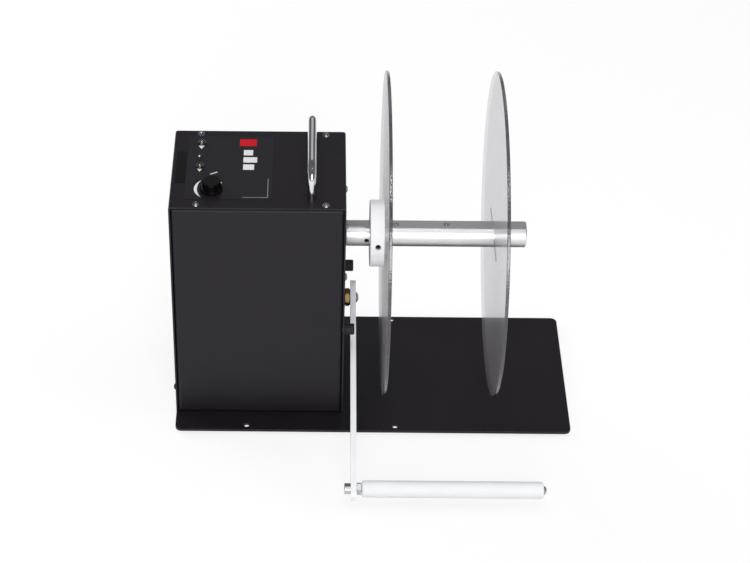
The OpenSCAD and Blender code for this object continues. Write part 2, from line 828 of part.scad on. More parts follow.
module bush_nut() {
  color(brass) place() along_x(-2 * sheet - 4, pivot_y, pivot_z) hex_nut(17, 4, bush_dia + 2 * loose);
}

module pivot_shaft() {
  color(steel) place() difference() {
    along_x(vane_x - 6, pivot_y, pivot_z) cylinder(h = arm_end - vane_x + 6, d = shaft_dia);
    along_x(arm_end - 12, pivot_y, pivot_z) cylinder(h = 12 + cut, d = 3.9 + 2 * loose);
  }
}

module arm_washer() {
  color(rubber) place() along_x(arm_gap - arm_washer_t, pivot_y, pivot_z)
    ring(15, shaft_dia + 2 * loose, arm_washer_t);
}

module tension_arm() {
  color(alloy) place() difference() {
    along_x(arm_gap, pivot_y, pivot_z) linear_extrude(arm_t) arm_outline();
    along_x(arm_gap - cut, pivot_y, pivot_z) cylinder(h = arm_t + 2 * cut, d = shaft_dia + 2 * run);
    along_x(arm_gap - cut, roller_y, roller_z) cylinder(h = arm_t + 2 * cut, d = axle_dia + 2 * run);
  }
}

// Bar outline in the pivot's frame, where -y is the front and -x is up: round tail, eased tip.
module arm_outline() {
  tail = arm_w / 2 - arm_tail;
  rotate(arm_slope) mirror([0, 1]) {
    arch_rect([-arm_w / 2, tail], [arm_w / 2, arm_l + arm_tip], arm_corner);
    translate([0, tail]) circle(d = arm_w);
  }
}

module pivot_screw() {
  color(steel) place() along_x(arm_end, pivot_y, pivot_z) dome_screw(11, 2.8, 3.9, 10, 3);
}

module sensor_bracket() {
  color(steel) place() difference() {
    union() {
      translate([-2 * sheet, pivot_y - 14, pivot_z - 14]) cube([sheet, shelf_y - pivot_y + 14 + sheet, 28]);
      translate([vane_x - 12, shelf_y, pivot_z - 14]) cube([-vane_x + 12 - sheet, sheet, 28]);
      along_x(vane_x - 3, pivot_y + 13, pivot_z + stop_pin_z()) cylinder(h = -vane_x + 3 - sheet, d = 4);
    }
    along_x(-2 * sheet - cut, pivot_y, pivot_z) cylinder(h = sheet + 2 * cut, d = bush_dia + 2 * loose);
  }
}

// Height of the stop pin over the pivot: it just clears the resting vane's upper edge.
function stop_pin_z() = 13 * tan(12) + 2 / cos(12) + 0.3;

module arm_sensor() {
  color(black) place() difference() {
    translate([vane_x - 8, sensor_y, pivot_z - 13]) cube([16, shelf_y - sensor_y, 12]);
    translate([vane_x - slot_w / 2, sensor_y - cut, pivot_z - 14]) cube([slot_w, 10 + cut, 14]);
  }
}

module sensor_vane() {
  color(steel) place() difference() {
    union() {
      along_x(vane_x - vane_t / 2, pivot_y, pivot_z) linear_extrude(vane_t) vane_outline();
      along_x(vane_x - 5, pivot_y, pivot_z) cylinder(h = 8, d = 15);
    }
    along_x(vane_x - 10, pivot_y, pivot_z) cylinder(h = 20, d = shaft_dia + 2 * run);
  }
}

// Sector of sheet behind the pivot, where +y is the back and -x is up.
module vane_outline() {
  intersection() {
    circle(vane_r);
    polygon([[0, 0], [-vane_r * sin(12), vane_r * cos(12)] * 2, [vane_r * sin(14), vane_r * cos(14)] * 2]);
  }
}

// Rubber buffer with an eased rim and a recess for its screw, standing on z = 0.
module buffer(dia, height) {
  r = dia / 2;
  ease = 0.8;
  rotate_extrude() polygon([
    [2.2, 0], [r, 0], [r, height - ease], [r - ease, height], [3.8, height], [3.8, 3.4], [2.2, 3.4]
  ]);
}

module lift_stop() {
  color(rubber) place() along_x(0, stop_y, stop_z) buffer(stop_dia, stop_l);
}

module rest_stop() {
  color(rubber) place() along_x(0, rest_stop_y, rest_stop_z) buffer(rest_stop_dia, rest_stop_l);
}

module stop_screws() {
  color(steel) place() at_stops() translate([0, 0, 3.4]) dome_screw(7, 2.2, 3.9, 3.4 + sheet + 5, 2.5);
}

module roller_axle() {
  start = arm_gap - axle_head;
  color(steel) place() difference() {
    along_x(start, roller_y, roller_z) rotate_extrude() polygon([
      [0, 0], [4.6, 0], [5, 0.4], [5, axle_head], [axle_dia / 2, axle_head],
      [axle_dia / 2, roller_end + free - start], [0, roller_end + free - start]
    ]);
    along_x(start - cut, roller_y, roller_z) cylinder(h = 3 + cut, d = 5.7, $fn = 6);
    along_x(roller_end - 10, roller_y, roller_z) cylinder(h = 20, d = 3 + 2 * loose);
  }
}

module axle_nut() {
  color(steel) place() along_x(arm_end, roller_y, roller_z) hex_nut(10, nut_w, axle_dia + 2 * loose);
}

module roller() {
  r = roller_dia / 2;
  ease = 2.2;
  color(white) place() along_x(roller_x, roller_y, roller_z) rotate_extrude() difference() {
    union() {
      square([r - ease, roller_l]);
      translate([0, ease]) square([r, roller_l - 2 * ease]);
      for (z = [ease, roller_l - ease]) translate([r - ease, z]) circle(ease);
    }
    translate([0, -cut]) square([4.5 + run, roller_l + 2 * cut]);
  }
}

module roller_bushes() {
  color(steel) place() for (x = [roller_x, roller_end - 12])
    along_x(x, roller_y, roller_z) ring(9, axle_dia + 2 * run, 12);
}

module axle_end_screw() {
  color(steel) place() along_x(roller_end + free, roller_y, roller_z) dome_screw(8.6, 2.6, 3, 8, 2.5);
}

module circuit_board() {
  color(green) place() difference() {
    translate([board_x, board_y, board_z]) cube([board_w, board_t, board_h]);
    at_board_corners() translate([0, 0, spacer_h - cut]) cylinder(h = board_t + 2 * cut, d = 3.4);
  }
}

// Relay, connector, heat sink and three capacitors, placed in shares of the board.
module board_components() {
  color(black) place() translate([board_x, board_y, board_z]) {
    translate([board_w * 0.2, -16, board_h * 0.55]) cube([30, 16, board_h * 0.3]);
    translate([board_w * 0.62, -9, board_h * 0.58]) cube([board_w * 0.24, 9, 10]);
    translate([board_w * 0.6, -22, board_h * 0.2]) cube([board_w * 0.28, 22, 5]);
    for (x = [0.18, 0.33, 0.48]) translate([board_w * x, 0, board_h * 0.26]) rotate([90, 0, 0])
      cylinder(h = 18, d = 10);
  }
}

module board_screws() {
  color(steel) place() at_board_corners() translate([0, 0, -sheet]) mirror([0, 0, 1])
    dome_screw(5.6, 1.8, board_screw, sheet + spacer_h + board_t + 1, 2);
}

module board_spacers() {
  color(white) place() at_board_corners() difference() {
    cylinder(h = spacer_h, d = spacer_dia);
    translate([0, 0, -cut]) cylinder(h = spacer_h + 2 * cut, d = 3.4);
  }
}

module power_inlet() {
  color(black) place() translate([inlet_x, box_d / 2, inlet_z]) rotate([90, 0, 0]) difference() {
    union() {
      translate([0, 0, -1.6]) cylinder(h = 1.6, d = 14);
      translate([0, 0, -cut]) cylinder(h = 5.5 + cut, d = inlet_dia);
    }
    translate([0, 0, -2]) cylinder(h = 6.5, d = 6.4);
    translate([0, 0, 4]) cylinder(h = 4, d = 1, $fn = 24);
  }
}

module inlet_nut() {
  color(steel) place() translate([inlet_x, box_d / 2 - sheet, inlet_z]) rotate([90, 0, 0])
    hex_nut(14, 2, inlet_dia + 2 * loose);
}

base_plate();
rubber_feet();
base_screws();
cover();
front_panel();
rear_panel();
cover_screws();
side_screws();
carry_handle();
handle_screws();
control_overlay();
blank_label();
knob();
potentiometer();
potentiometer_nut();
potentiometer_shaft();
back_toggle();
front_toggle();
toggle_nuts();
back_lever();
front_lever();
gearbox();
motor();
motor_screws();
drive_shaft();
spindle();
spindle_grub();
hub();
hub_grub_screw();
inner_disc();
disc_screws();
plunger_sleeves();
inner_plunger();
outer_plunger();
outer_disc();
bush_washer();
pivot_bush();
bush_nut();
pivot_shaft();
arm_washer();
tension_arm();
pivot_screw();
sensor_bracket();
arm_sensor();
sensor_vane();
lift_stop();
rest_stop();
stop_screws();
roller_axle();
axle_nut();
roller();
roller_bushes();
axle_end_screw();
circuit_board();
board_components();
board_spacers();
board_screws();
power_inlet();
inlet_nut();
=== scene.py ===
"""Looks of the label rewinder: finishes, printed marks, threads, stage, light and camera.

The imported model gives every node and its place. This script dresses the nodes, adds the fine pieces
that ride on them and sets up a plain studio seen from the photo's viewpoint. Lengths are in metres,
places on the printed film in millimetres, and colours are linear.
"""

import json
import logging
import math
from dataclasses import dataclass
from enum import Enum, IntEnum
from typing import ClassVar

import bpy
import numpy as np
from mathutils import Matrix, Vector


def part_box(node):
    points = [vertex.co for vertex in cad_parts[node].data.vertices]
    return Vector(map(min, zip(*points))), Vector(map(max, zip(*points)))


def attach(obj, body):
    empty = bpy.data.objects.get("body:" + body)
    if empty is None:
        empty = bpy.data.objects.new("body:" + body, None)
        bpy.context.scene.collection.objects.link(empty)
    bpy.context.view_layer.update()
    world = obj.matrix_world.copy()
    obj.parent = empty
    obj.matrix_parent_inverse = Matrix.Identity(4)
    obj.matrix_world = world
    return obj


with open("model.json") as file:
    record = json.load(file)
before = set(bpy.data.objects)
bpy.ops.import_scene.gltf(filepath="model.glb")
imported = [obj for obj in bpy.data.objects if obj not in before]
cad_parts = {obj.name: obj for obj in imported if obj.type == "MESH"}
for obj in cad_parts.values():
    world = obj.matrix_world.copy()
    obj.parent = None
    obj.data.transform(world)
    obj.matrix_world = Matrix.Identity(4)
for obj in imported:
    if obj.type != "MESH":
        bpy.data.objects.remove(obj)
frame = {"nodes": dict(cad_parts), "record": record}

LOG = logging.getLogger("rewinder")
MM = 0.001
Rgb = tuple[float, float, float]
Spot = tuple[float, float]
Place = tuple[float, float, float]
Socket = bpy.types.NodeSocket


class Body(Enum):
    """Rigid bodies that added pieces ride on."""

    HOUSING = "housing"


class Grain(Enum):
    """How a metal or plastic surface was worked."""

    PLAIN = "plain"
    TURNED_X = "turned about the spindle"
    BRUSHED_Y = "brushed along the arm"
    BRUSHED_X = "drawn along the spindle"


class Ray(Enum):
    """Kinds of ray that a material or the world can tell apart."""

    CAMERA = "Is Camera Ray"
    GLOSSY = "Is Glossy Ray"
    TRANSMISSION = "Is Transmission Ray"
    SHADOW = "Is Shadow Ray"


class ColourMix(IntEnum):
    """Places of a Mix node's colour sockets."""

    FACTOR = 0
    RESULT = 2
    DARK = 6
    LIGHT = 7


class Graph:
    """Small builder round the shader nodes of a material or of the world.

    Attributes:
        GRAZING: Smallest cosine that a hazy face counts with.
        BEVEL_SAMPLES: Samples of a rounded normal.
        NOISE_SPREAD: The values between which most of a noise lies.
    """

    GRAZING: ClassVar[float] = 0.01
    BEVEL_SAMPLES: ClassVar[int] = 4
    NOISE_SPREAD: ClassVar[Spot] = (0.3, 0.7)

    def __init__(self, owner: bpy.types.Material | bpy.types.World, output: str = "OutputMaterial") -> None:
        """Empties the owner's nodes and adds its output.

        Args:
            owner: The new material or world.
            output: Type of the output node without the ShaderNode prefix.
        """
        owner.use_nodes = True
        self.owner = owner
        self.tree = owner.node_tree
        self.tree.nodes.clear()
        self.output = self.add(output)

    def add(self, kind: str, **values: object) -> bpy.types.Node:
        """Adds a node and sets its properties or its unlinked sockets.

        Args:
            kind: Node type without the ShaderNode prefix.
            **values: Property names, or socket names with spaces as underscores.

        Returns:
            The new node.
        """
        made = self.tree.nodes.new("ShaderNode" + kind)
        for key, value in values.items():
            if hasattr(made, key):
                setattr(made, key, value)
            else:
                made.inputs[key.replace("_", " ")].default_value = value
        return made

    def link(self, source: Socket, target: Socket) -> None:
        """Connects an output socket to an input socket."""
        self.tree.links.new(source, target)

    def feed(self, value: Socket | float, target: Socket) -> None:
        """Links a socket to an input, or sets the input to a plain number.

        Args:
            value: The socket or the number.
            target: Input socket.
        """
        if isinstance(value, bpy.types.NodeSocket):
            self.link(value, target)
        else:
            target.default_value = value

    def surface(self, shader: Socket) -> None:
        """Sends a shader to the output."""
        self.link(shader, self.output.inputs["Surface"])

    def arithmetic(self, operation: str, *values: Socket | float, clamp: bool = False) -> Socket:
        """Works out one step of arithmetic.

        Args:
            operation: Name of the operation.
            *values: Sockets or plain numbers, in the operation's order.
            clamp: True keeps the result between 0 and 1.

        Returns:
            The value socket.
        """
        made = self.add("Math", operation=operation, use_clamp=clamp)
        for value, target in zip(values, made.inputs):
            self.feed(value, target)
        return made.outputs["Value"]

    def ray(self, *kinds: Ray) -> Socket:
        """Tells whether a ray is of one of some kinds.

        Args:
            *kinds: The kinds.

        Returns:
            A value socket, 1 for rays of these kinds and 0 for others.
        """
        path = self.add("LightPath")
        found = path.outputs[kinds[0].value]
        for kind in kinds[1:]:
            found = self.arithmetic("MAXIMUM", found, path.outputs[kind.value])
        return found

    def blend(self, share: Socket | float, first: Socket, second: Socket) -> Socket:
        """Mixes two shaders.

        Args:
            share: Share of the second shader.
            first: Shader at 0.
            second: Shader at 1.

        Returns:
            The shader socket.
        """
        made = self.add("MixShader")
        self.feed(share, made.inputs["Fac"])
        self.link(first, made.inputs[1])
        self.link(second, made.inputs[2])
        return made.outputs["Shader"]

    def place(self, scale: Place) -> Socket:
        """Gives stretched object coordinates.

        Args:
            scale: Factor on each axis, in repeats per metre.

        Returns:
            The vector socket.
        """
        coordinate = self.add("TexCoord")
        stretch = self.add("Mapping", Scale=scale)
        self.link(coordinate.outputs["Object"], stretch.inputs["Vector"])
        return stretch.outputs["Vector"]

    def noise(self, scale: Place | float, detail: float = 3.0) -> Socket:
        """Gives fractal noise between about 0.2 and 0.8.

        Args:
            scale: Repeats per metre, on each axis or on all.
            detail: Octaves of the noise.

        Returns:
            The value socket.
        """
        each = scale if isinstance(scale, tuple) else (scale, scale, scale)
        made = self.add("TexNoise", Scale=1.0, Detail=detail, Roughness=0.55)
        self.link(self.place(each), made.inputs["Vector"])
        return made.outputs["Fac"]

    def remap(self, value: Socket, low: float, high: float, start: Spot = NOISE_SPREAD) -> Socket:
        """Moves a value from one range to another and keeps it inside that.

        Args:
            value: The value, such as a noise.
            low: Result at the start of the first range.
            high: Result at its end.
            start: Start and end of the first range.

        Returns:
            The remapped value socket.
        """
        made = self.add("MapRange", From_Min=start[0], From_Max=start[1], To_Min=low, To_Max=high)
        self.link(value, made.inputs["Value"])
        return made.outputs["Result"]

    def tint(self, factor: Socket, dark: Rgb | Socket, light: Rgb) -> Socket:
        """Mixes two colours.

        Args:
            factor: Share of the light colour.
            dark: Colour at 0, or a socket that gives it.
            light: Colour at 1.

        Returns:
            The colour socket.
        """
        made = self.add("Mix", data_type="RGBA", clamp_factor=True)
        self.feed((*dark, 1.0) if isinstance(dark, tuple) else dark, made.inputs[ColourMix.DARK])
        self.feed((*light, 1.0), made.inputs[ColourMix.LIGHT])
        self.link(factor, made.inputs[ColourMix.FACTOR])
        return made.outputs[ColourMix.RESULT]

    def edges(self, radius: float, gain: float) -> Socket:
        """Finds sharp edges as the difference between the true and the rounded normal.

        Args:
            radius: Rounding radius.
            gain: Strength of the mask.

        Returns:
            A value socket near 1 on edges and 0 elsewhere.
        """
        rounded = self.add("Bevel", samples=self.BEVEL_SAMPLES, Radius=radius)
        true = self.add("NewGeometry")
        dot = self.add("VectorMath", operation="DOT_PRODUCT")
        self.link(rounded.outputs["Normal"], dot.inputs[0])
        self.link(true.outputs["Normal"], dot.inputs[1])
        return self.remap(dot.outputs["Value"], 0.0, 1.0, start=(1.0, 1.0 - 1.0 / gain))

    def bump(self, height: Socket, distance: float, radius: float) -> Socket:
        """Turns a height into a normal over softly rounded edges.

        Args:
            height: Height socket.
            distance: Height of the relief.
            radius: Rounding radius of the edges.

        Returns:
            The normal socket.
        """
        rounded = self.add("Bevel", samples=self.BEVEL_SAMPLES, Radius=radius)
        made = self.add("Bump", Strength=1.0, Distance=distance)
        self.link(height, made.inputs["Height"])
        self.link(rounded.outputs["Normal"], made.inputs["Normal"])
        return made.outputs["Normal"]

    def veil(self, film: float, clear: float) -> Socket:
        """Gives the share of a hazy face that hides what is behind it.

        The share is 1 - (1 - film) * clear ** (1 / cosine), with the cosine of the angle at which the
        face is met, so that haze builds up with the length of the path through it.

        Args:
            film: Share hidden by the bare surface at any angle.
            clear: Share that the haze lets through straight on.

        Returns:
            The value socket.
        """
        facing = self.add("LayerWeight", Blend=0.5).outputs["Facing"]
        cosine = self.arithmetic("MAXIMUM", self.GRAZING, self.arithmetic("SUBTRACT", 1.0, facing))
        through = self.arithmetic("POWER", clear, self.arithmetic("DIVIDE", 1.0, cosine))
        return self.arithmetic("MULTIPLY_ADD", through, film - 1.0, 1.0, clamp=True)

    def shader(self, **values: object) -> bpy.types.Node:
        """Adds the main shader and sends it to the output.

        Args:
            **values: Socket values of the shader.

        Returns:
            The shader node.
        """
        made = self.add("BsdfPrincipled", **values)
        self.surface(made.outputs["BSDF"])
        return made


@dataclass(frozen=True)
class Finish:
    """A surface finish with colour and roughness variation, relief and lighter edges: rubbing, and on the
    powder coat also a painted highlight.

    Attributes:
        name: Name of the material.
        dark: Colour of the darker patches.
        light: Colour of the lighter patches.
        rough: Lowest and highest roughness.
        relief: Height of the surface grain.
        pitch: Size of one grain.
        wear: Strength of the lighter edges, 0 for none: rubbing, and on the powder coat also a painted
            highlight.
        worn_and_highlight: Colour of the lighter edges: rubbed metal, paint or plastic, and on the powder
            coat also a painted highlight.
        metal: 1 for bare metal, 0 for paint, plastic or rubber, between for an anodised skin.
        grain: Direction of the tool marks.
        ease: Rounding that the edges seem to have.
        specular: Specular level of the shader.
        PATCHES: Patches per metre.
        SCUFFS: Scuffs per metre on rubbed edges.
        SCUFF_REACH: Width of the rubbed edge in times the rounding.
        SCUFF_GAIN: Strength of the edge mask.
        SCUFF_LEAST: Share of the wear that even a spared edge has.
        STRETCH: Length of a tool mark in times its width.
    """

    name: str
    dark: Rgb
    light: Rgb
    rough: Spot
    relief: float
    pitch: float
    wear: float = 0.0
    worn_and_highlight: Rgb = (1.0, 1.0, 1.0)
    metal: float = 0.0
    grain: Grain = Grain.PLAIN
    ease: float = 0.25 * MM
    specular: float = 0.5
    PATCHES: ClassVar[float] = 38.0
    SCUFFS: ClassVar[float] = 420.0
    SCUFF_REACH: ClassVar[float] = 1.6
    SCUFF_GAIN: ClassVar[float] = 6.0
    SCUFF_LEAST: ClassVar[float] = 0.2
    STRETCH: ClassVar[float] = 60.0

    def grain_scale(self) -> Place:
        """Gives the grain's repeats per metre on each axis.

        Returns:
            The three scales; tool marks are long along their direction.
        """
        fine = 1.0 / self.pitch
        long = fine / self.STRETCH
        table = {
            Grain.PLAIN: (fine, fine, fine),
            Grain.TURNED_X: (fine, long, long),
            Grain.BRUSHED_Y: (fine, long, fine),
            Grain.BRUSHED_X: (long, fine, fine),
        }
        return table[self.grain]

    def worn_and_highlit_edges(self, graph: Graph, colour: Socket) -> Socket:
        """Lightens the edges of a coloured surface as rubbing does; on the powder coat this is also a
        painted highlight.

        Args:
            graph: The material's graph.
            colour: Colour socket of the whole surface.

        Returns:
            The colour socket with rubbed edges.
        """
        edges = graph.edges(self.ease * self.SCUFF_REACH, self.SCUFF_GAIN)
        marks = graph.remap(graph.noise(self.SCUFFS), self.SCUFF_LEAST * self.wear, self.wear)
        return graph.tint(graph.arithmetic("MULTIPLY", edges, marks, clamp=True), colour, self.worn_and_highlight)

    def build(self) -> bpy.types.Material:
        """Builds the material.

        Returns:
            The finished material.
        """
        graph = Graph(bpy.data.materials.new(self.name))
        shader = graph.shader(Metallic=self.metal, Specular_IOR_Level=self.specular)
        grain = graph.noise(self.grain_scale(), detail=2.0)
        patches = graph.noise(self.PATCHES, detail=4.0)
        colour = graph.tint(graph.remap(patches, 0.0, 1.0), self.dark, self.light)
        if self.wear > 0.0:
            colour = self.worn_and_highlit_edges(graph, colour)
        graph.link(colour, shader.inputs["Base Color"])
        graph.link(graph.remap(patches, *self.rough), shader.inputs["Roughness"])
        graph.link(graph.bump(grain, self.relief, self.ease), shader.inputs["Normal"])
        return graph.owner


@dataclass(frozen=True)
class ClearSheet:
    """Clear acrylic with a fine hazy grain that lets lamp light through.

    Attributes:
        name: Name of the material.
        haze: Colour of the haze; on the cut rim it is a near-black painted shade.
        film: Share hidden by the bare surface at any angle.
        clear: Share that the haze of one face lets through straight on.
        rough: Lowest and highest roughness.
        pitch: Size of one grain.
        relief: Height of the grain.
        speck: How much the haze varies from grain to grain.
        one_sided: True leaves the inner side of the surface clear.
        specular: Specular level of the shader.
        PATCHES: Patches of like roughness per metre.
        EASE: Rounding that the edges seem to have.
        LAMP_TINT: Colour that lamp light keeps on its way through one face.
    """

    name: str
    haze: Rgb
    film: float
    clear: float
    rough: Spot
    pitch: float
    relief: float
    speck: float
    one_sided: bool = False
    specular: float = 0.5
    PATCHES: ClassVar[float] = 180.0
    EASE: ClassVar[float] = 0.3 * MM
    LAMP_TINT: ClassVar[Rgb] = (0.94, 0.94, 0.95)

    def build(self) -> bpy.types.Material:
        """Builds the material.

        Returns:
            The finished material.
        """
        graph = Graph(bpy.data.materials.new(self.name))
        shader = graph.shader(Specular_IOR_Level=self.specular)
        graph.link(graph.veil(self.film, self.clear), shader.inputs["Alpha"])
        passed = graph.ray(Ray.SHADOW)
        if self.one_sided:
            passed = graph.arithmetic("MAXIMUM", passed, graph.add("NewGeometry").outputs["Backfacing"])
        open_face = graph.add("BsdfTransparent", Color=(*self.LAMP_TINT, 1.0)).outputs["BSDF"]
        graph.surface(graph.blend(passed, shader.outputs["BSDF"], open_face))
        grain = graph.noise(1.0 / self.pitch, detail=2.0)
        patches = graph.noise(self.PATCHES)
        low = tuple(c * (1.0 - self.speck) for c in self.haze)
        high = tuple(c * (1.0 + self.speck) for c in self.haze)
        graph.link(graph.tint(graph.remap(grain, 0.0, 1.0), low, high), shader.inputs["Base Color"])
        graph.link(graph.remap(patches, *self.rough), shader.inputs["Roughness"])
        graph.link(graph.bump(grain, self.relief, self.EASE), shader.inputs["Normal"])
        return graph.owner


@dataclass(frozen=True)
class SlitWall:
    """Wall of a fine saw cut through a clear sheet: painted dark along the sheet's face as the shade inside
    the narrow cut, and clear behind it.

    Attributes:
        name: Name of the material.
        dark: Colour of the line of painted shade.
        face: Where the sheet's face lies on X.
        depth: How far the dark line reaches into the sheet.
        solid: Share of that depth that is fully dark.
        cover: Share of what is behind that the line hides.
        rough: Lowest and highest roughness.
        specular: Specular level of the shader.
        chips: Saw marks per metre.
        lift: How many times lighter the saw marks are.
    """

    name: str
    dark: Rgb
    face: float
    depth: float = 0.8 * MM
    solid: float = 0.7
    cover: float = 0.9
    rough: Spot = (0.4, 0.6)
    specular: float = 0.3
    chips: float = 900.0
    lift: float = 2.0

    def build(self) -> bpy.types.Material:
        """Builds the material.

        Returns:
            The finished material.
        """
        graph = Graph(bpy.data.materials.new(self.name))
        shader = graph.shader(Specular_IOR_Level=self.specular)
        chips = graph.noise(self.chips)
        light = tuple(self.lift * c for c in self.dark)
        graph.link(graph.tint(graph.remap(chips, 0.0, 1.0), self.dark, light), shader.inputs["Base Color"])
        graph.link(graph.remap(chips, *self.rough), shader.inputs["Roughness"])
        along = graph.add("SeparateXYZ")
        graph.link(graph.place((1.0, 1.0, 1.0)), along.inputs["Vector"])
        fade = (self.face + self.solid * self.depth, self.face + self.depth)
        graph.link(graph.remap(along.outputs["X"], self.cover, 0.0, start=fade), shader.inputs["Alpha"])
        return graph.owner


class Finishes:
    """All finishes of the object, built once."""

    def __init__(self) -> None:
        """Builds every material."""
        self.paint()
        self.metals()
        self.plastics()
        self.inks()
        self.acrylic()

    def paint(self) -> None:
        """Builds the coat of the sheet metal and the film on it."""
        # The powder coat's lighter edges are partly rubbed paint and partly a painted highlight along its
        # edges.
        self.powder = Finish(
            "powder_coat", dark=(0.0098, 0.0082, 0.0122), light=(0.0122, 0.0103, 0.0151),
            rough=(0.455, 0.495), relief=0.035 * MM, pitch=0.55 * MM,
            wear=0.5, worn_and_highlight=(0.090, 0.087, 0.095), ease=0.5 * MM, specular=0.25).build()
        self.film = Finish(
            "printed_film", dark=(0.0094, 0.0081, 0.0116), light=(0.0116, 0.0101, 0.0141),
            rough=(0.34, 0.42), relief=0.01 * MM, pitch=0.35 * MM,
            wear=0.15, worn_and_highlight=(0.02, 0.02, 0.021), ease=0.1 * MM, specular=0.25).build()

    def metals(self) -> None:
        """Builds the bare and plated metals."""
        self.zinc = Finish(
            "zinc_plate", dark=(0.42, 0.42, 0.43), light=(0.56, 0.56, 0.56),
            rough=(0.32, 0.46), relief=0.01 * MM, pitch=0.4 * MM,
            wear=0.4, worn_and_highlight=(0.75, 0.75, 0.75), metal=1.0, ease=0.2 * MM).build()
        self.chrome = Finish(
            "bright_chrome", dark=(0.74, 0.73, 0.75), light=(0.80, 0.79, 0.81),
            rough=(0.10, 0.13), relief=0.0004 * MM, pitch=1.2 * MM, metal=1.0, ease=0.05 * MM).build()
        self.spindle = Finish(
            "drawn_aluminium", dark=(0.71, 0.705, 0.715), light=(0.79, 0.785, 0.795),
            rough=(0.40, 0.50), relief=0.008 * MM, pitch=0.3 * MM,
            wear=0.3, worn_and_highlight=(0.88, 0.88, 0.88), metal=1.0, grain=Grain.BRUSHED_X, ease=0.3 * MM).build()
        self.arm = Finish(
            "brushed_aluminium", dark=(0.86, 0.872, 0.895), light=(0.90, 0.912, 0.935),
            rough=(0.42, 0.52), relief=0.01 * MM, pitch=0.35 * MM,
            wear=0.3, worn_and_highlight=(0.95, 0.95, 0.95), metal=0.15, grain=Grain.BRUSHED_Y, ease=0.35 * MM).build()
        self.cast = Finish(
            "cast_alloy", dark=(0.42, 0.42, 0.43), light=(0.52, 0.52, 0.53),
            rough=(0.45, 0.6), relief=0.06 * MM, pitch=0.9 * MM,
            wear=0.4, worn_and_highlight=(0.7, 0.7, 0.7), metal=1.0).build()
        self.oxide = Finish(
            "black_oxide", dark=(0.03, 0.03, 0.033), light=(0.05, 0.05, 0.053),
            rough=(0.35, 0.5), relief=0.01 * MM, pitch=0.4 * MM,
            wear=0.5, worn_and_highlight=(0.2, 0.2, 0.2), metal=1.0).build()
        self.brass = Finish(
            "machined_brass", dark=(0.20, 0.137, 0.054), light=(0.29, 0.205, 0.09),
            rough=(0.40, 0.52), relief=0.01 * MM, pitch=0.35 * MM,
            wear=0.4, worn_and_highlight=(0.45, 0.36, 0.18), metal=1.0, grain=Grain.TURNED_X).build()
        self.nickel = Finish(
            "dark_nickel", dark=(0.17, 0.15, 0.12), light=(0.26, 0.23, 0.19),
            rough=(0.28, 0.42), relief=0.01 * MM, pitch=0.35 * MM,
            wear=0.5, worn_and_highlight=(0.5, 0.46, 0.4), metal=1.0, ease=0.15 * MM).build()

    def plastics(self) -> None:
        """Builds the plastics, the rubber and the circuit board's mask."""
        self.hub = Finish(
            "turned_white_plastic", dark=(0.90, 0.895, 0.91), light=(0.94, 0.935, 0.95),
            rough=(0.40, 0.50), relief=0.03 * MM, pitch=0.35 * MM,
            wear=0.3, worn_and_highlight=(0.95, 0.95, 0.95), grain=Grain.TURNED_X, ease=0.3 * MM, specular=0.2).build()
        self.roller = Finish(
            "extruded_white_plastic", dark=(0.76, 0.765, 0.78), light=(0.81, 0.815, 0.83),
            rough=(0.45, 0.55), relief=0.008 * MM, pitch=0.5 * MM,
            wear=0.2, worn_and_highlight=(0.85, 0.85, 0.85), grain=Grain.BRUSHED_X, ease=0.4 * MM, specular=0.12).build()
        self.plastic = Finish(
            "moulded_black_plastic", dark=(0.0018, 0.0018, 0.0021), light=(0.0030, 0.0030, 0.0034),
            rough=(0.12, 0.20), relief=0.01 * MM, pitch=0.4 * MM,
            wear=0.3, worn_and_highlight=(0.03, 0.03, 0.03), specular=0.10).build()
        self.rubber = Finish(
            "black_rubber", dark=(0.011, 0.011, 0.012), light=(0.018, 0.018, 0.019),
            rough=(0.6, 0.75), relief=0.03 * MM, pitch=0.5 * MM,
            wear=0.4, worn_and_highlight=(0.03, 0.03, 0.03), ease=0.4 * MM, specular=0.3).build()
        self.board = Finish(
            "solder_mask", dark=(0.010, 0.070, 0.028), light=(0.018, 0.105, 0.045),
            rough=(0.28, 0.4), relief=0.02 * MM, pitch=1.5 * MM,
            wear=0.3, worn_and_highlight=(0.1, 0.12, 0.06)).build()

    def inks(self) -> None:
        """Builds the inks of the printed marks."""
        layer = {"relief": 0.004 * MM, "pitch": 0.3 * MM, "ease": 0.01 * MM}
        self.white_ink = Finish(
            "white_ink", dark=(0.62, 0.62, 0.63), light=(0.74, 0.74, 0.75), rough=(0.45, 0.6),
            **layer).build()
        self.grey_ink = Finish(
            "grey_ink", dark=(0.20, 0.20, 0.21), light=(0.28, 0.28, 0.29), rough=(0.45, 0.6),
            **layer).build()
        self.red_ink = Finish(
            "red_ink", dark=(0.44, 0.006, 0.014), light=(0.54, 0.010, 0.020), rough=(0.6, 0.7),
            specular=0.15, **layer).build()

    def acrylic(self) -> None:
        """Builds the clear discs' face, rim and slits."""
        self.disc = ClearSheet(
            "clear_acrylic", haze=(0.43, 0.416, 0.455), film=0.12, clear=0.966, rough=(0.29, 0.35),
            pitch=0.55 * MM, relief=0.015 * MM, speck=0.35).build()
        # The cut edge's near-black colour is painted shade that gives the rim its dark look; its strong
        # spread from grain to grain makes painted light and dark dashes of sparkle along the cut.
        self.rim = ClearSheet(
            "acrylic_cut_edge", haze=(0.038, 0.033, 0.037), film=0.90, clear=0.8, rough=(0.08, 0.14),
            pitch=1.9 * MM, relief=0.30 * MM, speck=0.9, one_sided=True, specular=1.0).build()
        # The slit walls carry a dark line of painted shade along the disc's face.
        self.slit = SlitWall("acrylic_slit", (0.03, 0.03, 0.032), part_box("outer_disc")[0][0]).build()


